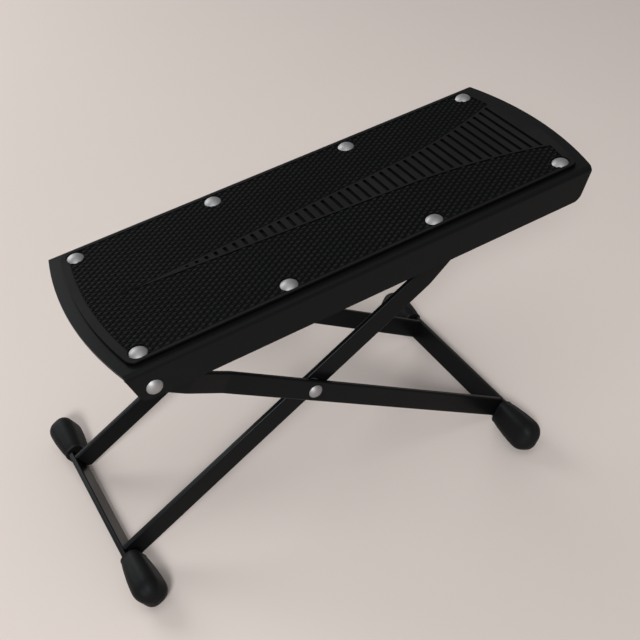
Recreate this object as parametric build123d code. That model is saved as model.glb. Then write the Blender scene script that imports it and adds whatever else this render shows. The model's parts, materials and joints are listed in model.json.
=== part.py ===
from build123d import *
import os
from math import asin, atan2, copysign, cos, degrees, hypot, radians, sin

# Guitar footrest: a pressed steel plate with a rubber mat, carried on a pair of crossed
# flat-bar legs that fold flat. The plate hangs on two rivets at its low end and lies on a
# cross rod at its high end, where a notched rack sets the height.
# Millimetres and degrees. X runs along the plate to its high end, Y across it, Z up.
# The origin is on the floor, below the middle of the whole object's outline.

# Plate
plate_length = 260.0
plate_width = 110.5
plate_end_bow = 7.5
plate_sheet = 1.5
flange_depth = 17.4
fold_radius = 2.6
low_end_lean = 4.6
high_end_lean = 7.9
low_corner_radius = 5.0
high_corner_radius = 6.0
pivot_setback = 11.6
pivot_to_flange_edge = 5.9

# Rubber mat, its smooth wedge and the cross grooves in the wedge
mat_thickness = 2.0
mat_side_inset = 5.2
mat_end_inset = 6.3
mat_corner_radius = 5.0
mat_edge_chamfer = 0.35
mat_side_margin = 1.8
mat_end_margin = 4.6
mat_field_depth = 0.5
wedge_tip_setback = 34.5
wedge_straight_length = 148.0
wedge_straight_rise = 10.4
wedge_end_half_width = 28.7
wedge_rib_width = 1.3
groove_count = 38
groove_pitch = 5.3
groove_width = 1.9
groove_depth = 0.9
first_groove_setback = 16.3

# Rivets that hold the mat
mat_rivet_head = 9.0
mat_rivet_dome = 2.0
mat_rivet_shank = 4.0
mat_rivet_sink = 0.8
mat_rivet_tail = 6.5
mat_rivet_tail_height = 1.0
mat_rivet_end_setback = 18.7
mat_rivet_middle_gap = 82.0
mat_rivet_side_setback = 11.55
rivet_hole_gap = 0.1
rivet_recess_gap = 0.2

# Flat bars of the legs
bar_width = 12.0
bar_thickness = 3.0
bar_edge_round = 0.9
outer_bar_setback = 10.25
pivot_to_scissor = 100.0
pivot_rise = 1.3
scissor_to_high_foot = 138.0
scissor_to_low_foot = 128.0
scissor_to_rod = 131.0
open_angle = 60.8
joggle_depth = 3.1
joggle_length = 21.5
joggle_round = 15.0
outer_joggle_start = 55.0
inner_joggle_start = 81.5
leg_corner_radius = 3.0

# Pivot and scissor rivets, with the spacers and washers on them
pin_diameter = 5.0
pin_running_gap = 0.06
face_gap = 0.1
pivot_head = 8.1
pivot_dome = 1.9
scissor_head = 7.6
scissor_dome = 1.8
spacer_diameter = 10.0
scissor_spacer_thickness = 2.2
washer_diameter = 9.4
washer_thickness = 0.8
tail_diameter = 7.2
tail_height = 1.4

# Cross rod and the notched rails that lie on it
rod_diameter = 6.0
rod_drop = 15.3
rod_tenon = 4.5
rod_head = 6.4
rod_head_height = 1.0
rail_thickness = 1.5
rail_web_setback = 27.25
rail_side_setback = 5.75
rail_end_overhang = 5.5
notch_count = 4
notch_pitch = 8.0
notch_depth = 0.5
rod_clearance = 0.3

# Foot strips and their rubber caps
strip_width = 12.5
strip_thickness = 3.0
strip_edge_round = 0.8
strip_in_cap = 22.0
cap_mouth_gap = 4.2
cap_length = 30.6
cap_width = 18.8
cap_height = 15.2
cap_neck_width = 14.7
cap_neck_height = 10.4
cap_end_length = 8.8
cap_lip_step = 0.2
cap_lip_length = 1.3
cap_lip_round = 0.15
cap_pocket_offset = 1.3
cap_foot_flat = 0.4
cap_corner_share = 0.8
cap_swell_shares = [
    (0.0, 0.0), (0.15, 0.24), (0.33, 0.5), (0.5, 0.7), (0.68, 0.87), (0.85, 0.97), (1.0, 1.0),
]
cap_end_shares = [
    (0.25, 0.97), (0.5, 0.87), (0.67, 0.75), (0.8, 0.62), (0.9, 0.46), (0.96, 0.3), (1.0, 0.18),
]

cut_overrun = 5.0

# Lengths and places that follow from the sizes above
half_width = plate_width / 2
half_corner = plate_length / 2
half_plate = half_corner + plate_end_bow
flange_inner = half_width - plate_sheet
pivot_u = -(half_corner - pivot_setback)
pivot_drop = flange_depth - pivot_to_flange_edge
mat_half_width = half_width - mat_side_inset
mat_half_length = half_plate - mat_end_inset
field_half_width = mat_half_width - mat_side_margin
field_half_length = mat_half_length - mat_end_margin
mat_rivet_u_outer = half_plate - mat_rivet_end_setback
mat_rivet_u_inner = mat_rivet_middle_gap / 2
mat_rivet_v = half_width - mat_rivet_side_setback
high_rivet_us = [mat_rivet_u_inner, mat_rivet_u_outer]
low_rivet_us = [-mat_rivet_u_outer, -mat_rivet_u_inner]

pin_hole = pin_diameter + 2 * pin_running_gap
outer_bar_face = half_width - outer_bar_setback
outer_bar_inside = outer_bar_face - bar_thickness
inner_bar_face = outer_bar_inside - scissor_spacer_thickness - 2 * face_gap
outer_bar_end_face = outer_bar_face + joggle_depth
inner_bar_end_face = inner_bar_face - joggle_depth
high_foot_reach = scissor_to_high_foot + strip_thickness / 2
low_foot_reach = scissor_to_low_foot + strip_thickness / 2

# The legs stand level: both foot strips are at one height
reach_ratio = low_foot_reach / high_foot_reach
open_radians = radians(open_angle)
outer_slope = degrees(atan2(reach_ratio * sin(open_radians), 1 + reach_ratio * cos(open_radians)))
inner_slope = open_angle - outer_slope


def along(origin, angle, distance, across=0.0):
    """A point at a distance along a line that rises at an angle, and across it."""
    turn = radians(angle)
    x = origin[0] + distance * cos(turn) - across * sin(turn)
    z = origin[1] + distance * sin(turn) + across * cos(turn)
    return (x, z)


# Places in the XZ plane, measured from the scissor rivets until the part is set down
scissor_xz = (0.0, 0.0)
pivot_xz = along(scissor_xz, -outer_slope, -pivot_to_scissor, pivot_rise)
rod_xz = along(scissor_xz, inner_slope, scissor_to_rod)
high_foot_xz = along(scissor_xz, -outer_slope, high_foot_reach)
low_foot_xz = along(scissor_xz, inner_slope, -low_foot_reach)

# The plate lies on the rod, so its slope follows from the pivot and the rod
pivot_to_rod = hypot(rod_xz[0] - pivot_xz[0], rod_xz[1] - pivot_xz[1])
line_slope = degrees(atan2(rod_xz[1] - pivot_xz[1], rod_xz[0] - pivot_xz[0]))
plate_slope = line_slope - degrees(asin((pivot_drop - rod_drop) / pivot_to_rod))
rod_u = pivot_u + pivot_to_rod * cos(radians(line_slope - plate_slope))
plate_xz = along(pivot_xz, plate_slope, -pivot_u, pivot_drop)

# Each cap's lowest point below the middle of its strip, and the floor under the flats
cap_corner = cap_corner_share * cap_height / 2
cap_reaches = []
for slope in (outer_slope, inner_slope):
    across_leg = (cap_width / 2 - cap_corner) * cos(radians(slope))
    along_leg = (cap_height / 2 - cap_corner - cap_pocket_offset) * sin(radians(slope))
    cap_reaches.append(across_leg + along_leg + cap_corner)
floor_z = high_foot_xz[1] - min(cap_reaches) + cap_foot_flat


def stand(shape, origin, angle):
    """Turn a shape drawn along X to a slope and carry it to its origin."""
    return Location((origin[0], 0, origin[1]), (0, -angle, 0)) * shape


def flat_prism(outline, low, high):
    """A solid from an outline drawn in plan, between two heights."""
    return extrude(Pos(0, 0, low) * outline, high - low)


def side_prism(outline, depth):
    """A solid from an outline drawn in side view, as deep on both sides of Y zero."""
    face = Plane.XZ * outline
    return extrude(face, depth, both=True)


def round_bar(y_from, y_to, diameter, x=0.0, z=0.0):
    """A round rod along Y between two places."""
    body = Cylinder(diameter / 2, abs(y_to - y_from))
    middle = (y_from + y_to) / 2
    return Pos(x, middle, z) * (Rot(90, 0, 0) * body)


def ring(y_from, y_to, outside):
    """A washer or spacer that sits tight on a pin along Y."""
    return round_bar(y_from, y_to, outside) - round_bar(y_from, y_to, pin_diameter)


def dome(diameter, height):
    """A rivet head: part of a ball, flat side on Z zero."""
    radius = ((diameter / 2) ** 2 + height ** 2) / (2 * height)
    ball = Pos(0, 0, height - radius) * Sphere(radius)
    return ball & flat_prism(Circle(radius), 0, height)


def cross_rivet(side, head_y, tail_y, head, head_height):
    """A rivet along Y: head outwards at one face, flattened tail at the other."""
    outwards = Rot(-90 * side, 0, 0)
    inwards = Rot(90 * side, 0, 0)
    shank = round_bar(side * tail_y, side * head_y, pin_diameter)
    cap = Pos(0, side * head_y, 0) * (outwards * dome(head, head_height))
    tail = Pos(0, side * tail_y, 0) * (inwards * dome(tail_diameter, tail_height))
    return shank + cap + tail


# Plate

def bowed_outline(half_length, half_side, bow, corner_radius):
    """A long rectangle whose two ends bulge outwards as arcs."""
    corner = half_length - bow
    right_end = ThreePointArc((corner, -half_side), (half_length, 0), (corner, half_side))
    far_side = Line((corner, half_side), (-corner, half_side))
    left_end = ThreePointArc((-corner, half_side), (-half_length, 0), (-corner, -half_side))
    near_side = Line((-corner, -half_side), (corner, -half_side))
    outline = make_face([right_end, far_side, left_end, near_side])
    if corner_radius > 0:
        outline = fillet(outline.vertices(), corner_radius)
    return outline


def end_bow(half_side):
    """How far an arc that runs beside the plate's end bulges over a given half width."""
    end_radius = (half_width ** 2 + plate_end_bow ** 2) / (2 * plate_end_bow)
    return end_radius - (end_radius ** 2 - half_side ** 2) ** 0.5


def channel_outline():
    """The plate's cross-section, drawn with Y across and the top at zero."""
    outer = Polyline(
        (-half_width, -flange_depth),
        (-half_width, 0),
        (half_width, 0),
        (half_width, -flange_depth),
        (flange_inner, -flange_depth),
        (flange_inner, -plate_sheet),
        (-flange_inner, -plate_sheet),
        (-flange_inner, -flange_depth),
        close=True,
    )
    section = make_face(outer)
    tops = section.vertices().group_by(Axis.Y)[-1]
    section = fillet(tops, fold_radius)
    inner_corners = [v for v in section.vertices() if abs(v.Y + plate_sheet) < face_gap]
    return fillet(inner_corners, fold_radius - plate_sheet)


def flange_side_outline():
    """The side view that trims the flanges' leaning ends and rounds their lower corners."""
    reach = half_plate + cut_overrun
    outline = make_face(Polyline(
        (-reach, cut_overrun),
        (reach, cut_overrun),
        (reach, -fold_radius),
        (half_corner, -fold_radius),
        (half_corner - high_end_lean, -flange_depth),
        (-half_corner + low_end_lean, -flange_depth),
        (-half_corner, -fold_radius),
        (-reach, -fold_radius),
        close=True,
    ))
    lowest = outline.vertices().group_by(Axis.Y)[0].sort_by(Axis.X)
    outline = fillet(lowest[0], low_corner_radius)
    lowest = outline.vertices().group_by(Axis.Y)[0].sort_by(Axis.X)
    return fillet(lowest[-1], high_corner_radius)


def make_pan():
    section = Plane.YZ * channel_outline()
    channel = extrude(section, half_plate + cut_overrun, both=True)
    plan = bowed_outline(half_plate, half_width, plate_end_bow, 0)
    pan = channel & flat_prism(plan, -flange_depth - cut_overrun, cut_overrun)
    pan = pan & side_prism(flange_side_outline(), half_width + cut_overrun)
    for u in low_rivet_us + high_rivet_us:
        for v in (-mat_rivet_v, mat_rivet_v):
            pan -= Pos(u, v, 0) * Cylinder(mat_rivet_shank / 2 + rivet_hole_gap, flange_depth)
    reach = half_width + cut_overrun
    return pan - round_bar(-reach, reach, pin_hole, pivot_u, -pivot_drop)


# Rubber mat

def wedge_outline(inset):
    """The smooth wedge that widens towards the high end, drawn in from its edge by an inset."""
    tip = -half_plate + wedge_tip_setback + inset * wedge_straight_length / wedge_straight_rise
    bend = -half_plate + wedge_tip_setback + wedge_straight_length
    end = field_half_length
    sides = []
    for side in (1, -1):
        start = (tip, 0)
        turn = (bend, side * (wedge_straight_rise - inset))
        finish = (end, side * (wedge_end_half_width - inset))
        edge = Line(start, turn)
        sides.append([edge, TangentArc(turn, finish, tangent=edge % 1)])
    end_line = Line(sides[0][1] @ 1, sides[1][1] @ 1)
    return make_face([*sides[0], end_line, *sides[1]])


def make_mat():
    outline = bowed_outline(mat_half_length, mat_half_width, end_bow(mat_half_width), mat_corner_radius)
    mat = flat_prism(outline, 0, mat_thickness)
    mat = chamfer(mat.edges().group_by(Axis.Z)[-1], mat_edge_chamfer)
    corner_radius = mat_corner_radius - mat_side_margin
    field = bowed_outline(field_half_length, field_half_width, end_bow(field_half_width), corner_radius)
    field = field - wedge_outline(0)
    mat -= flat_prism(field, mat_thickness - mat_field_depth, mat_thickness + cut_overrun)
    groove_floor = mat_thickness - groove_depth
    wedge = flat_prism(wedge_outline(wedge_rib_width), groove_floor, mat_thickness + cut_overrun)
    for step in range(groove_count):
        u = half_plate - first_groove_setback - step * groove_pitch
        slot = Pos(u, 0) * Rectangle(groove_width, plate_width)
        mat -= flat_prism(slot, groove_floor, mat_thickness + cut_overrun) & wedge
    seat = mat_thickness - mat_rivet_sink
    recess = Circle(mat_rivet_head / 2 + rivet_recess_gap)
    hole = Circle(mat_rivet_shank / 2)
    for u in low_rivet_us + high_rivet_us:
        for v in (-mat_rivet_v, mat_rivet_v):
            mat -= Pos(u, v, 0) * flat_prism(recess, seat, mat_thickness + cut_overrun)
            mat -= Pos(u, v, 0) * flat_prism(hole, -cut_overrun, mat_thickness + cut_overrun)
    return mat


def make_mat_rivets():
    seat = mat_thickness - mat_rivet_sink
    rivets = []
    for us, below in ((low_rivet_us, -plate_sheet), (high_rivet_us, -plate_sheet - rail_thickness)):
        for u in us:
            for v in (-mat_rivet_v, mat_rivet_v):
                rivet = Pos(0, 0, seat) * dome(mat_rivet_head, mat_rivet_dome)
                rivet += flat_prism(Circle(mat_rivet_shank / 2), below - mat_rivet_tail_height / 2, seat)
                rivet += Pos(0, 0, below) * (Rot(180, 0, 0) * dome(mat_rivet_tail, mat_rivet_tail_height))
                rivets.append(Pos(u, v, 0) * rivet)
    return rivets


# Rack rails under the plate

def make_rail(side):
    web_inner = half_width - rail_web_setback
    flat_outer = half_width - rail_side_setback
    top = -plate_sheet
    notch_top = -rod_drop + rod_diameter / 2 + rod_clearance
    web_foot = notch_top - notch_depth
    section = make_face(Polyline(
        (side * web_inner, top),
        (side * flat_outer, top),
        (side * flat_outer, top - rail_thickness),
        (side * (web_inner + rail_thickness), top - rail_thickness),
        (side * (web_inner + rail_thickness), web_foot),
        (side * web_inner, web_foot),
        close=True,
    ))
    start = mat_rivet_u_inner - rail_end_overhang
    end = mat_rivet_u_outer + rail_end_overhang
    rail = Pos(start, 0, 0) * extrude(Plane.YZ * section, end - start)
    top_edges = rail.edges().filter_by(Axis.X).group_by(Axis.Z)[-1]
    fold_edge = top_edges.sort_by(lambda edge: abs(edge.center().Y))[0]
    rail = fillet(fold_edge, rail_thickness)
    notch_diameter = rod_diameter + 2 * rod_clearance
    for step in range(notch_count):
        u = rod_u + step * notch_pitch
        rail -= round_bar(0, side * flat_outer, notch_diameter, u, -rod_drop)
    for u in high_rivet_us:
        rail -= Pos(u, side * mat_rivet_v, 0) * Cylinder(mat_rivet_shank / 2 + rivet_hole_gap, flange_depth)
    return rail


# Flat bars

def joggled_plan(end_x, face, bend_at, bend_to, far_x, shift):
    """A bar seen from above: straight, one sideways step, straight again."""
    inner = face - bar_thickness
    path = make_face(Polyline(
        (far_x, inner),
        (far_x, face),
        (bend_at, face),
        (bend_to, face + shift),
        (end_x, face + shift),
        (end_x, inner + shift),
        (bend_to, inner + shift),
        (bend_at, inner),
        close=True,
    ))
    bends = [v for v in path.vertices() if min(abs(v.X - bend_at), abs(v.X - bend_to)) < face_gap]
    return fillet(bends, joggle_round)


def bar_side(round_x, square_x):
    """A bar seen from the side: a round end and a square end."""
    body = Pos((round_x + square_x) / 2, 0) * Rectangle(abs(square_x - round_x), bar_width)
    return body + Pos(round_x, 0) * Circle(bar_width / 2)


def long_edges(bar):
    """A bar's edges along its length, which are rounded; its end edges stay sharp."""
    return bar.edges().filter_by(Axis.Z, reverse=True).filter_by(Axis.Y, reverse=True)


def make_outer_bar(side):
    tip = -pivot_to_scissor - bar_width / 2
    bend_at = -outer_joggle_start
    bend_to = bend_at - joggle_length
    plan = joggled_plan(tip, outer_bar_face, bend_at, bend_to, scissor_to_high_foot, joggle_depth)
    bar = flat_prism(plan, -bar_width, bar_width)
    bar = bar & side_prism(bar_side(-pivot_to_scissor, scissor_to_high_foot), plate_width)
    bar = fillet(long_edges(bar), bar_edge_round)
    if side < 0:
        bar = mirror(bar, Plane.XZ)
    bar -= round_bar(0, side * plate_width, pin_hole, -pivot_to_scissor, pivot_rise)
    return bar - round_bar(0, side * plate_width, pin_diameter)


def make_inner_bar(side):
    tip = scissor_to_rod + bar_width / 2
    bend_at = inner_joggle_start
    bend_to = bend_at + joggle_length
    plan = joggled_plan(tip, inner_bar_face, bend_at, bend_to, -scissor_to_low_foot, -joggle_depth)
    bar = flat_prism(plan, -bar_width, bar_width)
    outline = bar_side(scissor_to_rod, -scissor_to_low_foot)
    corners = outline.vertices().group_by(Axis.X)[0].sort_by(Axis.Y)
    outline = fillet(corners[0], leg_corner_radius)
    bar = bar & side_prism(outline, plate_width)
    bar = fillet(long_edges(bar), bar_edge_round)
    if side < 0:
        bar = mirror(bar, Plane.XZ)
    bar -= round_bar(0, side * plate_width, pin_hole)
    return bar - round_bar(0, side * plate_width, rod_tenon, scissor_to_rod)


# Foot strips and caps

def make_strip(x, face):
    half_length = face + cap_mouth_gap + strip_in_cap
    strip = Pos(x, 0, 0) * Box(strip_thickness, 2 * half_length, strip_width)
    return fillet(strip.edges().filter_by(Axis.Y), strip_edge_round)


def cap_section(y, width, height):
    """A section across a cap: a rounded rectangle, narrower along the leg."""
    section = RectangleRounded(height, width, cap_corner_share * height / 2)
    return Pos(0, y, 0) * (Rot(-90, 0, 0) * section)


def make_cap(side, x, face):
    """A hollow rubber cap: lip at the mouth, swelling sides and a rounded end.

    Its pocket lies off the middle, so the cap reaches further towards the leg than past it.
    """
    offset = copysign(cap_pocket_offset, -x)
    widest = cap_length - cap_end_length
    sections = []
    for length_share, swell_share in cap_swell_shares:
        y = length_share * widest
        width = cap_neck_width + swell_share * (cap_width - cap_neck_width)
        height = cap_neck_height + swell_share * (cap_height - cap_neck_height)
        sections.append(cap_section(y, width, height))
    for length_share, size_share in cap_end_shares:
        y = widest + length_share * cap_end_length
        sections.append(cap_section(y, size_share * cap_width, size_share * cap_height))
    mouth = cap_section(0, cap_neck_width + 2 * cap_lip_step, cap_neck_height + 2 * cap_lip_step)
    lip = extrude(mouth, cap_lip_length)
    lip = fillet(lip.edges().filter_by(Axis.Y, reverse=True), cap_lip_round)
    pocket = Pos(-offset, strip_in_cap / 2, 0) * Box(strip_thickness, strip_in_cap, strip_width)
    pocket = fillet(pocket.edges().filter_by(Axis.Y), strip_edge_round)
    cap = Pos(x + offset, face + cap_mouth_gap, 0) * (loft(sections) + lip - pocket)
    return cap if side > 0 else Rot(180, 0, 0) * cap


def cut_flat(cap):
    """Cut the cap's underside level where it stands on the floor."""
    reach = plate_length
    ground = Pos(0, 0, floor_z - reach / 2) * Box(2 * reach, 2 * reach, reach)
    return cap - ground


# Put every piece in its place
pieces = {}
pieces["pan"] = stand(make_pan(), plate_xz, plate_slope)
pieces["rubber_mat"] = stand(make_mat(), plate_xz, plate_slope)
pieces["mat_rivets"] = [stand(rivet, plate_xz, plate_slope) for rivet in make_mat_rivets()]

for side, name in ((-1, "near"), (1, "far")):
    pieces["rack_rail_" + name] = stand(make_rail(side), plate_xz, plate_slope)

    pieces["outer_bar_" + name] = stand(make_outer_bar(side), scissor_xz, -outer_slope)
    pieces["inner_bar_" + name] = stand(make_inner_bar(side), scissor_xz, inner_slope)

    tail_y = outer_bar_end_face - bar_thickness - washer_thickness
    rivet = cross_rivet(side, half_width + face_gap, tail_y, pivot_head, pivot_dome)
    spacer = ring(side * (outer_bar_end_face + face_gap), side * (flange_inner - face_gap), spacer_diameter)
    washer = ring(side * tail_y, side * (tail_y + washer_thickness - face_gap), washer_diameter)
    pieces["pivot_rivet_" + name] = stand(rivet, pivot_xz, plate_slope)
    pieces["pivot_spacer_" + name] = stand(spacer, pivot_xz, plate_slope)
    pieces["pivot_washer_" + name] = stand(washer, pivot_xz, plate_slope)

    tail_y = inner_bar_face - bar_thickness - washer_thickness - face_gap
    rivet = cross_rivet(side, outer_bar_face, tail_y, scissor_head, scissor_dome)
    spacer = ring(side * (inner_bar_face + face_gap), side * outer_bar_inside, spacer_diameter)
    washer = ring(side * tail_y, side * (tail_y + washer_thickness), washer_diameter)
    pieces["scissor_rivet_" + name] = stand(rivet, scissor_xz, -outer_slope)
    pieces["scissor_spacer_" + name] = stand(spacer, scissor_xz, -outer_slope)
    pieces["scissor_washer_" + name] = stand(washer, scissor_xz, -outer_slope)

    cap = make_cap(side, high_foot_reach, outer_bar_face)
    pieces["high_cap_" + name] = cut_flat(stand(cap, scissor_xz, -outer_slope))
    cap = make_cap(side, -low_foot_reach, inner_bar_face)
    pieces["low_cap_" + name] = cut_flat(stand(cap, scissor_xz, inner_slope))

pieces["high_foot_strip"] = stand(make_strip(high_foot_reach, outer_bar_face), scissor_xz, -outer_slope)
pieces["low_foot_strip"] = stand(make_strip(-low_foot_reach, inner_bar_face), scissor_xz, inner_slope)

rod_inner = inner_bar_end_face - bar_thickness
rod = round_bar(-rod_inner, rod_inner, rod_diameter)
rod += round_bar(-inner_bar_end_face, inner_bar_end_face, rod_tenon)
for side in (-1, 1):
    head = Rot(-90 * side, 0, 0) * dome(rod_head, rod_head_height)
    rod += Pos(0, side * inner_bar_end_face, 0) * head
pieces["cross_rod"] = stand(rod, rod_xz, inner_slope)

# Set the part down on the floor, centred on its own outline
flat_list = []
for piece in pieces.values():
    flat_list.extend(piece if isinstance(piece, list) else [piece])
outline_box = Compound(children=[Compound(piece.wrapped) for piece in flat_list]).bounding_box()
shift_x = -(outline_box.min.X + outline_box.max.X) / 2
set_down = Pos(shift_x, 0, -floor_z)

os.makedirs("parts", exist_ok=True)
for name, piece in pieces.items():
    solids = piece if isinstance(piece, list) else [piece]
    placed = [set_down * solid for item in solids for solid in item.solids()]
    shape = placed[0] if len(placed) == 1 else Compound(placed)
    export_step(shape, "parts/" + name + ".step")

for label, spot in (("pivot", pivot_xz), ("scissor", scissor_xz), ("rod", rod_xz), ("plate", plate_xz)):
    print(label, round(spot[0] + shift_x, 4), 0.0, round(spot[1] - floor_z, 4))
print("slopes: outer", round(outer_slope, 3), "inner", round(inner_slope, 3), "plate", round(plate_slope, 3))
print("rod along the plate", round(rod_u, 3))
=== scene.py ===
"""Guitar footrest: the looks of its plate, mat, legs and feet, laid out as an add-on.

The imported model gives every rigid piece. This file adds the mat's raised knurl, finishes each
piece with its own material, and sets up the floor, the lights and the camera. Metres throughout.
"""

import json
import math

import bpy
from mathutils import Matrix, Vector


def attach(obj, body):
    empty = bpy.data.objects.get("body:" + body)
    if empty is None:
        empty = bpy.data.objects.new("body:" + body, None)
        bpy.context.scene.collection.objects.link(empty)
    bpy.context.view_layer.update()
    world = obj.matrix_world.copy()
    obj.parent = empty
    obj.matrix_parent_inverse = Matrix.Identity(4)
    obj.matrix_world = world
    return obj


bl_info = {
    "name": "Guitar Footrest",
    "version": (1, 0, 0),
    "blender": (4, 5, 0),
    "location": "3D View > Sidebar > Footrest",
    "description": "Dresses the folding guitar footrest and sets up its studio",
    "category": "Object",
}

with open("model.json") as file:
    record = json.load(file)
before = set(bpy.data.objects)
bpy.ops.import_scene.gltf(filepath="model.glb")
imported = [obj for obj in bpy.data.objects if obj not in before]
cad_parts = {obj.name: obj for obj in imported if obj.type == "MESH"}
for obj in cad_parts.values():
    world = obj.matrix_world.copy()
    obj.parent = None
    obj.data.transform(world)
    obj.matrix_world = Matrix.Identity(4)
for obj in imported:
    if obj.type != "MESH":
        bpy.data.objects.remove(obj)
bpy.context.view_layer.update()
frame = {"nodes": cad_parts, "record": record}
nodes = frame["nodes"]
mounts = {mount["name"]: mount for mount in frame["record"]["mounts"]}

MM = 0.001

# The foot surface is the mat's field: its record entry gives the plate's slope and place
FIELD_HEIGHT = 1.5 * MM
FOOT_SPOT_ACROSS = 30.0 * MM
plate_up = Vector(mounts["foot_surface"]["axis"]).normalized()
plate_across = Vector((0, 1, 0))
plate_along = plate_across.cross(plate_up).normalized()
plate_centre = (
    Vector(mounts["foot_surface"]["pos_m"])
    - FOOT_SPOT_ACROSS * plate_across
    - FIELD_HEIGHT * plate_up
)
plate_place = Matrix((plate_along, plate_across, plate_up)).transposed().to_4x4()
plate_place.translation = plate_centre

# The lozenges' feet are sunk in the mat, and the cutters reach below and above them
KNURL_SINK = 0.05 * MM
LOZENGE_BEVEL = 0.14 * MM
CUT_BELOW = 1 * MM
CUT_ABOVE = 2 * MM

# The knurl has several times this many faces, unless a cut has lost them
LEAST_FACES = 10000

# Points nearer to each other than this are one point
SAME_POINT = 0.01 * MM

# Straight pieces that stand for each curve of the knurl's outline
BOW_STEPS = 24
FLARE_STEPS = 16
RING_STEPS = 32

# Heights over the plate between which the mat's painted shade in its hollows fades out towards
# its crests
HOLLOW_HEIGHT = 1.75 * MM
CREST_HEIGHT = 2.1 * MM

# Keeps black surfaces neutral beside the warm floor
COOL_GLOSS = (0.86, 0.94, 1.0, 1.0)

# Name, place, width and power setting of each light, all aimed at the footrest's middle
LIGHTS = (
    ("key_light", (-0.6, 1.3, 0.8), 0.9, "key_power"),
    ("fill_light", (-0.9, -1.3, 1.15), 0.35, "fill_power"),
    ("top_light", (-0.2, -0.2, 1.8), 1.6, "top_power"),
)
LIGHT_TARGET = Vector((0, 0, 0.08))
WORLD_COLOUR = (1.0, 0.99, 0.98, 1.0)

# The photograph's camera: two of its axes, and its place from the plate's middle
CAMERA_RIGHT = Vector((0.8754, -0.4825, -0.0281))
CAMERA_BACK = Vector((-0.3666, -0.7007, 0.6121))
CAMERA_FROM_PLATE = Vector((-0.21987, -0.4161, 0.29455))
SENSOR_WIDTH = 36.0


class KnurlSizes(bpy.types.PropertyGroup):
    """Sizes of the mat's raised lozenges and of the field that they fill"""

    lozenge_length: bpy.props.FloatProperty(
        name="Lozenge Length", description="Point to point along the plate",
        default=5.38 * MM, min=0.002, subtype="DISTANCE", unit="LENGTH", precision=5)
    lozenge_width: bpy.props.FloatProperty(
        name="Lozenge Width", description="Point to point across the plate",
        default=3.48 * MM, min=0.001, subtype="DISTANCE", unit="LENGTH", precision=5)
    lozenge_height: bpy.props.FloatProperty(
        name="Lozenge Height", description="How far each lozenge stands above the field",
        default=0.62 * MM, min=0.0001, subtype="DISTANCE", unit="LENGTH", precision=5)
    lozenge_foot: bpy.props.FloatProperty(
        name="Foot", description="Width of a lozenge's foot, as a part of its pitch",
        default=0.90, min=0.5, max=1.0, subtype="FACTOR")
    lozenge_top: bpy.props.FloatProperty(
        name="Top", description="Width of a lozenge's top, as a part of its foot",
        default=0.26, min=0.05, max=0.95, subtype="FACTOR")
    end_margin: bpy.props.FloatProperty(
        name="End Margin", description="Bare strip between the lozenges and the bowed ends",
        default=0.4 * MM, min=0.0, subtype="DISTANCE", unit="LENGTH", precision=5)
    side_margin: bpy.props.FloatProperty(
        name="Side Margin", description="Bare strip between the lozenges and the field's sides",
        default=0.3 * MM, min=0.0, subtype="DISTANCE", unit="LENGTH", precision=5)
    wedge_margin: bpy.props.FloatProperty(
        name="Wedge Margin", description="Bare strip between the lozenges and the wedge",
        default=0.7 * MM, min=0.0, subtype="DISTANCE", unit="LENGTH", precision=5)
    rivet_margin: bpy.props.FloatProperty(
        name="Rivet Margin", description="Bare ring between the lozenges and a rivet head",
        default=0.5 * MM, min=0.0, subtype="DISTANCE", unit="LENGTH", precision=5)
    rivet_head: bpy.props.FloatProperty(
        name="Rivet Head", description="Width of a mat rivet's head",
        default=9.0 * MM, min=0.001, subtype="DISTANCE", unit="LENGTH", precision=5)
    rivet_across: bpy.props.FloatProperty(
        name="Rivets Across", description="From the plate's middle line to the rivets",
        default=43.7 * MM, subtype="DISTANCE", unit="LENGTH", precision=5)
    inner_rivets: bpy.props.FloatProperty(
        name="Inner Rivets", description="From the plate's middle to the rivets next to it",
        default=41.0 * MM, subtype="DISTANCE", unit="LENGTH", precision=5)
    outer_rivets: bpy.props.FloatProperty(
        name="Outer Rivets", description="From the plate's middle to the rivets at its ends",
        default=118.8 * MM, subtype="DISTANCE", unit="LENGTH", precision=5)
    field_half_length: bpy.props.FloatProperty(
        name="Field Half Length", description="From the plate's middle to the field's bowed end",
        default=126.6 * MM, subtype="DISTANCE", unit="LENGTH", precision=5)
    field_half_width: bpy.props.FloatProperty(
        name="Field Half Width", description="From the plate's middle line to the field's side",
        default=48.25 * MM, subtype="DISTANCE", unit="LENGTH", precision=5)
    end_radius: bpy.props.FloatProperty(
        name="End Radius", description="Radius of the bowed ends",
        default=207.25 * MM, subtype="DISTANCE", unit="LENGTH", precision=5)
    wedge_tip: bpy.props.FloatProperty(
        name="Wedge Tip", description="From the plate's middle back to the wedge's tip",
        default=103.0 * MM, subtype="DISTANCE", unit="LENGTH", precision=5)
    wedge_straight: bpy.props.FloatProperty(
        name="Wedge Straight Length", description="Length of the wedge's straight sides",
        default=148.0 * MM, subtype="DISTANCE", unit="LENGTH", precision=5)
    wedge_bend: bpy.props.FloatProperty(
        name="Wedge Half Width At Bend", description="Half width where the sides begin to flare",
        default=10.4 * MM, subtype="DISTANCE", unit="LENGTH", precision=5)
    wedge_end: bpy.props.FloatProperty(
        name="Wedge Half Width At End", description="Half width at the field's high end",
        default=28.7 * MM, subtype="DISTANCE", unit="LENGTH", precision=5)


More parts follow.
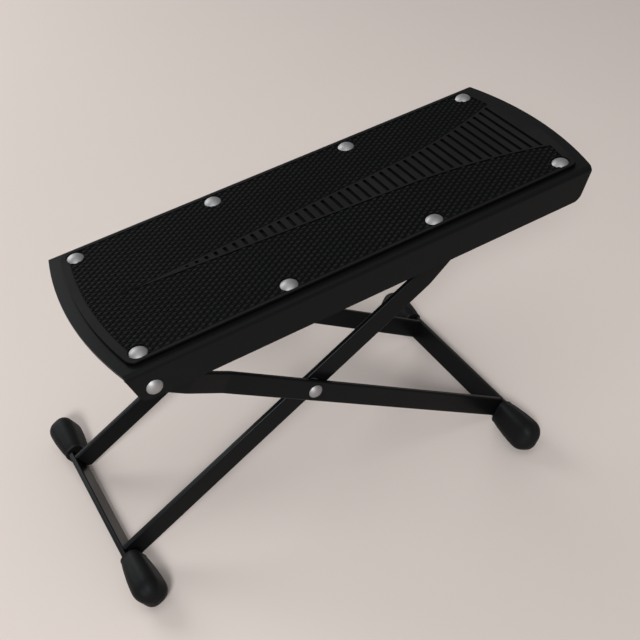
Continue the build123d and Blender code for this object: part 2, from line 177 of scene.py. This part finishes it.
class FinishColours(bpy.types.PropertyGroup):
    """Colours and gloss of the footrest's finishes"""

    enamel: bpy.props.FloatVectorProperty(
        name="Enamel", description="Baked black enamel on the plate and rails",
        default=(0.0048, 0.0048, 0.0049), min=0.0, max=1.0, size=3, subtype="COLOR")
    enamel_roughness: bpy.props.FloatProperty(
        name="Enamel Roughness", description="Satin gloss of the plate and rails",
        default=0.34, min=0.0, max=1.0, subtype="FACTOR")
    leg_enamel: bpy.props.FloatVectorProperty(
        name="Leg Enamel", description="Black enamel on the flat bars and foot strips",
        default=(0.0042, 0.0042, 0.0043), min=0.0, max=1.0, size=3, subtype="COLOR")
    leg_roughness: bpy.props.FloatProperty(
        name="Leg Roughness", description="Gloss of the flat bars and foot strips",
        default=0.30, min=0.0, max=1.0, subtype="FACTOR")
    enamel_specular: bpy.props.FloatProperty(
        name="Enamel Specular", description="Strength of the enamel's reflections",
        default=0.105, min=0.0, max=1.0, subtype="FACTOR")
    rubber: bpy.props.FloatVectorProperty(
        name="Mat Rubber", description="Moulded rubber of the mat",
        default=(0.0115, 0.0115, 0.0118), min=0.0, max=1.0, size=3, subtype="COLOR")
    cap_rubber: bpy.props.FloatVectorProperty(
        name="Cap Rubber", description="Moulded rubber of the foot caps",
        default=(0.0060, 0.0060, 0.0062), min=0.0, max=1.0, size=3, subtype="COLOR")
    rubber_roughness: bpy.props.FloatProperty(
        name="Rubber Roughness", description="Matte surface of the mat and the caps",
        default=0.55, min=0.0, max=1.0, subtype="FACTOR")
    mat_specular: bpy.props.FloatProperty(
        name="Mat Specular", description="Strength of the mat's reflections",
        default=0.07, min=0.0, max=1.0, subtype="FACTOR")
    cap_specular: bpy.props.FloatProperty(
        name="Cap Specular", description="Strength of the caps' reflections",
        default=0.12, min=0.0, max=1.0, subtype="FACTOR")
    zinc: bpy.props.FloatVectorProperty(
        name="Zinc", description="Plating on the rivets, washers, spacers and rod",
        default=(0.40, 0.40, 0.405), min=0.0, max=1.0, size=3, subtype="COLOR")


class StageSettings(bpy.types.PropertyGroup):
    """The floor, the lights and the camera"""

    floor_colour: bpy.props.FloatVectorProperty(
        name="Floor", description="Plain pale floor",
        default=(0.72, 0.645, 0.605), min=0.0, max=1.0, size=3, subtype="COLOR")
    floor_reach: bpy.props.FloatProperty(
        name="Floor Reach", description="How far the floor runs from the footrest",
        default=6.0, min=1.0, subtype="DISTANCE", unit="LENGTH")
    key_power: bpy.props.FloatProperty(
        name="Key Light", description="Power of the light behind the far side",
        default=11.0, min=0.0, unit="POWER")
    fill_power: bpy.props.FloatProperty(
        name="Fill Light", description="Power of the light beside the camera",
        default=24.0, min=0.0, unit="POWER")
    top_power: bpy.props.FloatProperty(
        name="Top Light", description="Power of the wide light overhead",
        default=5.0, min=0.0, unit="POWER")
    world_strength: bpy.props.FloatProperty(
        name="World", description="Strength of the even light from all round",
        default=0.28, min=0.0)
    lens: bpy.props.FloatProperty(
        name="Lens", description="Focal length of the camera",
        default=60.67, min=10.0, unit="CAMERA")


# Shader expressions

# Sockets that go by number, because their names come up more than once on a node
MIX_SHARE, MIX_FIRST, MIX_SECOND = 0, 6, 7
MIX_COLOUR = 2
VECTOR_MATH_NUMBER = 1


class Wire:
    """One output of a shader node, used as a number in an expression."""

    def __init__(self, finish, socket):
        self.finish = finish
        self.socket = socket

    def _math(self, operation, other):
        return self.finish.node("ShaderNodeMath", {"operation": operation}, (self, other))

    def __add__(self, other):
        return self._math("ADD", other)

    def __sub__(self, other):
        return self._math("SUBTRACT", other)

    def __mul__(self, other):
        return self._math("MULTIPLY", other)

    __radd__ = __add__
    __rmul__ = __mul__


class Finish:
    """A material and the nodes that make it."""

    def __init__(self, name):
        self.material = bpy.data.materials.new(name)
        self.material.use_nodes = True
        self.tree = self.material.node_tree
        self.shader = self.tree.nodes["Principled BSDF"]
        coordinates = self.tree.nodes.new("ShaderNodeTexCoord")
        self.place = Wire(self, coordinates.outputs["Object"])

    def feed(self, socket, value):
        """Link a wire to a socket, or give the socket a value."""
        if isinstance(value, Wire):
            self.tree.links.new(value.socket, socket)
        else:
            socket.default_value = value

    def set(self, socket, value):
        """Give one of the shader's own sockets a wire or a value."""
        self.feed(self.shader.inputs[socket], value)

    def node(self, kind, settings, inputs, output=0):
        """Add a node: its settings are set first, then its sockets get values or links."""
        made = self.tree.nodes.new(kind)
        for name, value in settings.items():
            setattr(made, name, value)
        pairs = inputs.items() if isinstance(inputs, dict) else enumerate(inputs)
        for key, value in pairs:
            self.feed(made.inputs[key], value)
        return Wire(self, made.outputs[output])

    def noise(self, scale, detail, roughness=0.5):
        """Noise in the object's own space."""
        return self.node("ShaderNodeTexNoise", {"noise_dimensions": "3D"}, {
            "Vector": self.place, "Scale": scale, "Detail": detail, "Roughness": roughness})

    def smooth(self, value, low, high):
        """Zero below low, one above high, and a soft step between them."""
        return self.node("ShaderNodeMapRange", {"interpolation_type": "SMOOTHSTEP"}, {
            "Value": value, "From Min": low, "From Max": high})

    def mix(self, share, first, second):
        """Blend two colours by a share."""
        return self.node("ShaderNodeMix", {"data_type": "RGBA"}, {
            MIX_SHARE: share, MIX_FIRST: first, MIX_SECOND: second}, MIX_COLOUR)

    def height_above(self, point, normal):
        """Height of the surface over a plane, in metres, in the object's own space."""
        inputs = (self.place, normal)
        along = self.node(
            "ShaderNodeVectorMath", {"operation": "DOT_PRODUCT"}, inputs, VECTOR_MATH_NUMBER)
        return along - point.dot(normal)

    def bump(self, height, distance, strength):
        """A normal that follows a height."""
        return self.node("ShaderNodeBump", {}, {
            "Height": height, "Distance": distance, "Strength": strength})


def shade(colour, factor):
    """A colour made lighter or darker, as a socket value."""
    return (colour[0] * factor, colour[1] * factor, colour[2] * factor, 1.0)


def enamel(name, colour, roughness, specular):
    """Baked black enamel: satin, faintly orange-peeled, with a little dust in it."""
    cloud_swing, speck_roughness = 0.12, 0.10
    speck_cover, speck_shade = 0.5, 2.6
    finish = Finish(name)
    cloud = finish.noise(scale=28.0, detail=3.0)
    peel = finish.noise(scale=900.0, detail=2.0)
    speck = finish.smooth(finish.noise(scale=2600.0, detail=1.0), low=0.70, high=0.78)
    finish.set("Base Color", finish.mix(
        speck * speck_cover, shade(colour, 1.0), shade(colour, speck_shade)))
    finish.set("Roughness", (
        roughness - cloud_swing / 2 + cloud_swing * cloud + speck_roughness * speck))
    finish.set("Normal", finish.bump(peel, distance=0.02 * MM, strength=0.5))
    finish.set("Specular IOR Level", specular)
    finish.set("Specular Tint", COOL_GLOSS)
    return finish.material


def moulded_rubber(name, colour, roughness, specular, grain, shaded_hollows=False):
    """Matte rubber with a fine moulded grain and a faint greyer bloom at random.

    With shaded_hollows, the hollows of its pattern get painted shade, so its tops look greyer
    than the hollows between them.
    """
    grain_swing, bloom_cover = 0.10, 0.55
    plain_shade, bloom_shade, hollow_shade = 0.85, 1.35, 0.1
    finish = Finish(name)
    cloud = finish.noise(scale=35.0, detail=4.0)
    fine = finish.noise(grain, detail=3.0, roughness=0.6)
    bloom = finish.smooth(cloud, low=0.42, high=0.68)
    base = finish.mix(
        bloom * bloom_cover, shade(colour, plain_shade), shade(colour, bloom_shade))
    # Painted shade: below the crest height the hollows of the pattern fade to a tenth of the
    # rubber's colour
    if shaded_hollows:
        height = finish.height_above(plate_centre, plate_up)
        raised = finish.smooth(height, HOLLOW_HEIGHT, CREST_HEIGHT)
        base = finish.mix(raised, shade(colour, hollow_shade), base)
    finish.set("Base Color", base)
    finish.set("Roughness", roughness - grain_swing / 2 + grain_swing * fine)
    finish.set("Normal", finish.bump(fine, distance=0.05 * MM, strength=0.6))
    finish.set("Specular IOR Level", specular)
    finish.set("Specular Tint", COOL_GLOSS)
    return finish.material


def zinc_plate(name, colour):
    """Zinc-plated steel: metal, lightly clouded, with fine tumbling marks."""
    least_roughness, cloud_swing = 0.50, 0.14
    dark_shade, light_shade = 0.78, 1.15
    finish = Finish(name)
    cloud = finish.noise(scale=160.0, detail=3.0)
    marks = finish.noise(scale=1500.0, detail=3.0, roughness=0.6)
    finish.set("Base Color", finish.mix(
        cloud, shade(colour, dark_shade), shade(colour, light_shade)))
    finish.set("Metallic", 1.0)
    finish.set("Roughness", least_roughness + cloud_swing * cloud)
    finish.set("Normal", finish.bump(marks, distance=0.02 * MM, strength=0.5))
    return finish.material


def pale_floor(name, colour):
    """A plain floor, very lightly clouded."""
    dark_shade, light_shade = 0.98, 1.02
    finish = Finish(name)
    cloud = finish.noise(scale=3.0, detail=3.0)
    finish.set("Base Color", finish.mix(
        cloud, shade(colour, dark_shade), shade(colour, light_shade)))
    finish.set("Roughness", 0.6)
    finish.set("Specular IOR Level", 0.2)
    return finish.material


def dress(names, material):
    """Give CAD nodes a material in their own slots."""
    for name in names:
        node = nodes[name]
        if not node.material_slots:
            node.data.materials.append(material)
        for slot in node.material_slots:
            slot.material = material


def matching(*words):
    """Names of the CAD nodes that hold any of the words."""
    return [name for name in nodes if any(word in name for word in words)]


# Modelling helpers

def start_clean():
    """Leave edit mode and deselect everything."""
    if bpy.context.object and bpy.context.object.mode != "OBJECT":
        bpy.ops.object.mode_set(mode="OBJECT")
    bpy.ops.object.select_all(action="DESELECT")


def name_new(name):
    """Name the object that a primitive operator has just added."""
    added = bpy.context.object
    added.name = name
    added.data.name = name
    return added


def pick(obj):
    """Make one object the only one selected, and the active one."""
    start_clean()
    obj.select_set(True)
    bpy.context.view_layer.objects.active = obj


def use_modifier(obj, kind, **settings):
    """Add a modifier, set it and apply it."""
    pick(obj)
    bpy.ops.object.modifier_add(type=kind)
    modifier = obj.modifiers[-1]
    for name, value in settings.items():
        setattr(modifier, name, value)
    bpy.ops.object.modifier_apply(modifier=modifier.name)


def repeat(obj, count, offset):
    """Replace a piece by a row of copies, each moved on by an offset."""
    use_modifier(obj, "ARRAY", count=count, use_relative_offset=False,
                 use_constant_offset=True, constant_offset_displace=offset)


def cut(obj, cutter, operation="DIFFERENCE"):
    """Cut one closed piece with another, and remove the cutter."""
    use_modifier(obj, "BOOLEAN", operation=operation, solver="MANIFOLD", object=cutter)
    bpy.data.objects.remove(cutter)


def put_on_plate(obj):
    """Carry a piece modelled about the plate's middle to its place on the plate."""
    pick(obj)
    obj.matrix_world = plate_place
    bpy.ops.object.transform_apply(location=True, rotation=True, scale=True)


def flat_slab(name, points, low, high):
    """A slab with a drawn outline, from a filled and extruded flat curve."""
    start_clean()
    drawing = bpy.data.curves.new(name, "CURVE")
    drawing.dimensions = "2D"
    drawing.fill_mode = "BOTH"
    drawing.extrude = (high - low) / 2
    line = drawing.splines.new("POLY")
    line.points.add(len(points) - 1)
    for point, (x, y) in zip(line.points, points):
        point.co = (x, y, 0, 1)
    line.use_cyclic_u = True
    slab = bpy.data.objects.new(name, drawing)
    bpy.context.scene.collection.objects.link(slab)
    slab.location.z = (low + high) / 2
    pick(slab)
    bpy.ops.object.convert(target="MESH")
    bpy.ops.object.transform_apply(location=True, rotation=True, scale=True)
    bpy.ops.object.mode_set(mode="EDIT")
    bpy.ops.mesh.select_all(action="SELECT")
    bpy.ops.mesh.remove_doubles(threshold=SAME_POINT)
    bpy.ops.mesh.normals_make_consistent(inside=False)
    bpy.ops.object.mode_set(mode="OBJECT")
    return bpy.context.object


def round_cutter(name, x, y, radius, low, high):
    """An upright cylinder that clears the knurl round a rivet."""
    start_clean()
    bpy.ops.mesh.primitive_cylinder_add(
        vertices=RING_STEPS, radius=radius, depth=high - low, location=(x, y, (low + high) / 2))
    cutter = name_new(name)
    bpy.ops.object.transform_apply(location=True, rotation=True, scale=True)
    return cutter


def arc_points(start, heading, end, count):
    """Points of the arc that leaves start along a heading and reaches end."""
    gap = Vector((end[0] - start[0], end[1] - start[1]))
    turn = 2 * math.atan2(heading.x * gap.y - heading.y * gap.x, heading.dot(gap))
    points = []
    for step in range(1, count + 1):
        part = step / count
        chord = gap.length * math.sin(turn * part / 2) / math.sin(turn / 2)
        angle = math.atan2(heading.y, heading.x) + turn * part / 2
        points.append((start[0] + chord * math.cos(angle), start[1] + chord * math.sin(angle)))
    return points


def bowed_field(sizes):
    """Outline of the knurled field, with its two bowed ends."""
    radius = sizes.end_radius
    side = sizes.field_half_width - sizes.side_margin
    centre = sizes.field_half_length - sizes.end_margin - radius
    spread = math.asin(side / radius)
    bow = []
    for step in range(BOW_STEPS + 1):
        angle = -spread + 2 * spread * step / BOW_STEPS
        bow.append((centre + radius * math.cos(angle), radius * math.sin(angle)))
    return bow + [(-x, -y) for x, y in bow]


def wedge_outline(sizes):
    """Outline of the wedge and its bare margin: straight sides that flare at the high end."""
    slope = sizes.wedge_bend / sizes.wedge_straight
    tip = (-sizes.wedge_tip - sizes.wedge_margin / slope, 0.0)
    bend = (sizes.wedge_straight - sizes.wedge_tip, sizes.wedge_bend + sizes.wedge_margin)
    end = (sizes.field_half_length, sizes.wedge_end + sizes.wedge_margin)
    heading = Vector((bend[0] - tip[0], bend[1] - tip[1])).normalized()
    upper = [bend] + arc_points(bend, heading, end, FLARE_STEPS)
    lower = [(x, -y) for x, y in upper]
    return [tip] + lower + upper[::-1]


class FOOTREST_OT_mat(bpy.types.Operator):
    """Lay the raised lozenges on the mat's field and cut them at the wedge and the margins"""

    bl_idname = "footrest.mat"
    bl_label = "Mat and Knurl"

    def execute(self, context):
        sizes = context.scene.footrest_knurl
        colours = context.scene.footrest_colours
        # The mat's rubber gets painted shade in the hollows of its knurl, wedge and rim
        rubber = moulded_rubber(
            "mat_rubber", colours.rubber, colours.rubber_roughness, colours.mat_specular,
            grain=1800.0, shaded_hollows=True)
        dress(["rubber_mat"], rubber)

        seat = FIELD_HEIGHT - KNURL_SINK
        knurl = self.first_lozenge(sizes, seat)
        self.fill_sheet(knurl, sizes)
        self.trim(knurl, sizes, seat - CUT_BELOW, seat + CUT_ABOVE)
        if len(knurl.data.polygons) < LEAST_FACES:
            raise RuntimeError("the knurl lost its lozenges")

        put_on_plate(knurl)
        knurl.data.materials.clear()
        knurl.data.materials.append(rubber)
        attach(knurl, "plate")
        return {"FINISHED"}

    def first_lozenge(self, sizes, seat):
        """One lozenge about the plate's middle: a low pyramid without its point."""
        start_clean()
        foot_length = sizes.lozenge_length / 2 * sizes.lozenge_foot
        foot_width = sizes.lozenge_width / 2 * sizes.lozenge_foot
        depth = sizes.lozenge_height + FIELD_HEIGHT - seat
        bpy.ops.mesh.primitive_cone_add(
            vertices=4, radius1=1.0, radius2=sizes.lozenge_top, depth=depth,
            location=(0, 0, seat + depth / 2), scale=(foot_length, foot_width, 1.0))
        knurl = name_new("mat_knurl")
        bpy.ops.object.transform_apply(location=True, rotation=True, scale=True)
        self.soften(knurl, seat)
        return knurl

    def soften(self, knurl, seat):
        """Bevel every edge of the lozenge but those of its hidden foot."""
        pick(knurl)
        bpy.ops.object.mode_set(mode="EDIT")
        bpy.ops.mesh.select_mode(type="EDGE")
        bpy.ops.mesh.select_all(action="DESELECT")
        bpy.ops.object.mode_set(mode="OBJECT")
        for edge in knurl.data.edges:
            ends = [knurl.data.vertices[index].co.z for index in edge.vertices]
            edge.select = max(ends) > seat + SAME_POINT
        bpy.ops.object.mode_set(mode="EDIT")
        bpy.ops.mesh.bevel(offset=LOZENGE_BEVEL, offset_type="OFFSET", segments=1)
        bpy.ops.object.mode_set(mode="OBJECT")

    def fill_sheet(self, knurl, sizes):
        """Repeat the lozenge in two interleaved grids that reach past the whole field."""
        length, width = sizes.lozenge_length, sizes.lozenge_width
        columns = 2 * math.ceil(sizes.field_half_length / length) + 1
        rows = 2 * math.ceil(sizes.field_half_width / width) + 1
        knurl.location = (-(columns - 1) / 2 * length, -(rows - 1) / 2 * width, 0)
        bpy.ops.object.transform_apply(location=True, rotation=False, scale=False)
        repeat(knurl, 2, (length / 2, width / 2, 0))
        repeat(knurl, columns, (length, 0, 0))
        repeat(knurl, rows, (0, width, 0))

    def trim(self, knurl, sizes, low, high):
        """Cut the sheet of lozenges at the field's outline, the wedge and the rivets."""
        cut(knurl, flat_slab("field_cutter", bowed_field(sizes), low, high), "INTERSECT")
        cut(knurl, flat_slab("wedge_cutter", wedge_outline(sizes), low, high))
        clear = sizes.rivet_head / 2 + sizes.rivet_margin
        inner, outer, across = sizes.inner_rivets, sizes.outer_rivets, sizes.rivet_across
        for x in (-outer, -inner, inner, outer):
            for y in (-across, across):
                cut(knurl, round_cutter("rivet_cutter", x, y, clear, low, high))


class FOOTREST_OT_steel(bpy.types.Operator):
    """Enamel the plate, the rails, the legs and the foot strips"""

    bl_idname = "footrest.steel"
    bl_label = "Enamelled Steel"

    def execute(self, context):
        colours = context.scene.footrest_colours
        gloss = colours.enamel_specular
        plate = enamel("plate_enamel", colours.enamel, colours.enamel_roughness, gloss)
        dress(["pan"] + matching("rack_rail"), plate)
        legs = enamel("leg_enamel", colours.leg_enamel, colours.leg_roughness, gloss)
        dress(matching("bar_", "foot_strip"), legs)
        return {"FINISHED"}


class FOOTREST_OT_fasteners(bpy.types.Operator):
    """Plate the rivets, the spacers, the washers and the cross rod with zinc"""

    bl_idname = "footrest.fasteners"
    bl_label = "Rivets and Rod"

    def execute(self, context):
        zinc = zinc_plate("zinc_plate", context.scene.footrest_colours.zinc)
        dress(matching("rivet", "spacer", "washer", "cross_rod"), zinc)
        return {"FINISHED"}


class FOOTREST_OT_caps(bpy.types.Operator):
    """Give the foot caps their matte rubber"""

    bl_idname = "footrest.caps"
    bl_label = "Foot Caps"

    def execute(self, context):
        colours = context.scene.footrest_colours
        rubber = moulded_rubber(
            "cap_rubber", colours.cap_rubber, colours.rubber_roughness, colours.cap_specular,
            grain=1400.0)
        dress(matching("_cap_"), rubber)
        return {"FINISHED"}


class FOOTREST_OT_stage(bpy.types.Operator):
    """Lay the floor, hang the lights and set the camera"""

    bl_idname = "footrest.stage"
    bl_label = "Stage"

    def execute(self, context):
        settings = context.scene.footrest_stage
        self.lay_floor(settings)
        self.hang_lights(context, settings)
        self.set_camera(context, settings)
        context.scene.view_settings.view_transform = "Standard"
        return {"FINISHED"}

    def lay_floor(self, settings):
        """A wide plain floor under the feet."""
        start_clean()
        bpy.ops.mesh.primitive_plane_add(size=2 * settings.floor_reach)
        floor = name_new("floor")
        floor.data.materials.append(pale_floor("pale_floor", settings.floor_colour))

    def hang_lights(self, context, settings):
        """Three square lights and an even glow from all round."""
        for name, place, width, power in LIGHTS:
            lamp = bpy.data.lights.new(name, "AREA")
            lamp.shape = "SQUARE"
            lamp.size = width
            lamp.energy = getattr(settings, power)
            light = bpy.data.objects.new(name, lamp)
            context.scene.collection.objects.link(light)
            light.location = place
            aim = LIGHT_TARGET - Vector(place)
            light.rotation_euler = aim.to_track_quat("-Z", "Y").to_euler()
        world = bpy.data.worlds.new("studio")
        world.use_nodes = True
        background = world.node_tree.nodes["Background"]
        background.inputs["Color"].default_value = WORLD_COLOUR
        background.inputs["Strength"].default_value = settings.world_strength
        context.scene.world = world

    def set_camera(self, context, settings):
        """The photograph's viewing place and angle, measured from the plate's middle."""
        lens = bpy.data.cameras.new("camera")
        lens.lens = settings.lens
        lens.sensor_width = SENSOR_WIDTH
        camera = bpy.data.objects.new("camera", lens)
        context.scene.collection.objects.link(camera)
        back = CAMERA_BACK.normalized()
        up = back.cross(CAMERA_RIGHT.normalized()).normalized()
        right = up.cross(back).normalized()
        place = Matrix((right, up, back)).transposed().to_4x4()
        place.translation = plate_centre + CAMERA_FROM_PLATE
        camera.matrix_world = place
        context.scene.camera = camera


class FOOTREST_PT_panel(bpy.types.Panel):
    """Lists the footrest's making steps and their sizes"""

    bl_label = "Guitar Footrest"
    bl_idname = "FOOTREST_PT_panel"
    bl_space_type = "VIEW_3D"
    bl_region_type = "UI"
    bl_category = "Footrest"

    def draw(self, context):
        layout = self.layout
        for operator in OPERATORS:
            layout.operator(operator.bl_idname)
        for settings in GROUPS:
            group = getattr(context.scene, settings)
            box = layout.box()
            for name in group.bl_rna.properties.keys():
                if name not in ("rna_type", "name"):
                    box.prop(group, name)


OPERATORS = (
    FOOTREST_OT_mat,
    FOOTREST_OT_steel,
    FOOTREST_OT_fasteners,
    FOOTREST_OT_caps,
    FOOTREST_OT_stage,
)
GROUPS = {
    "footrest_knurl": KnurlSizes,
    "footrest_colours": FinishColours,
    "footrest_stage": StageSettings,
}


def register():
    """Add the settings, the making steps and the panel to Blender."""
    for name, group in GROUPS.items():
        bpy.utils.register_class(group)
        setattr(bpy.types.Scene, name, bpy.props.PointerProperty(type=group))
    for kind in (*OPERATORS, FOOTREST_PT_panel):
        bpy.utils.register_class(kind)


def unregister():
    """Take out what register added, in the opposite order."""
    for kind in reversed((*OPERATORS, FOOTREST_PT_panel)):
        bpy.utils.unregister_class(kind)
    for name, group in reversed(GROUPS.items()):
        delattr(bpy.types.Scene, name)
        bpy.utils.unregister_class(group)


def main():
    """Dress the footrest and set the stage."""
    register()
    bpy.ops.footrest.mat()
    bpy.ops.footrest.steel()
    bpy.ops.footrest.fasteners()
    bpy.ops.footrest.caps()
    bpy.ops.footrest.stage()


if __name__ == "__main__":
    main()
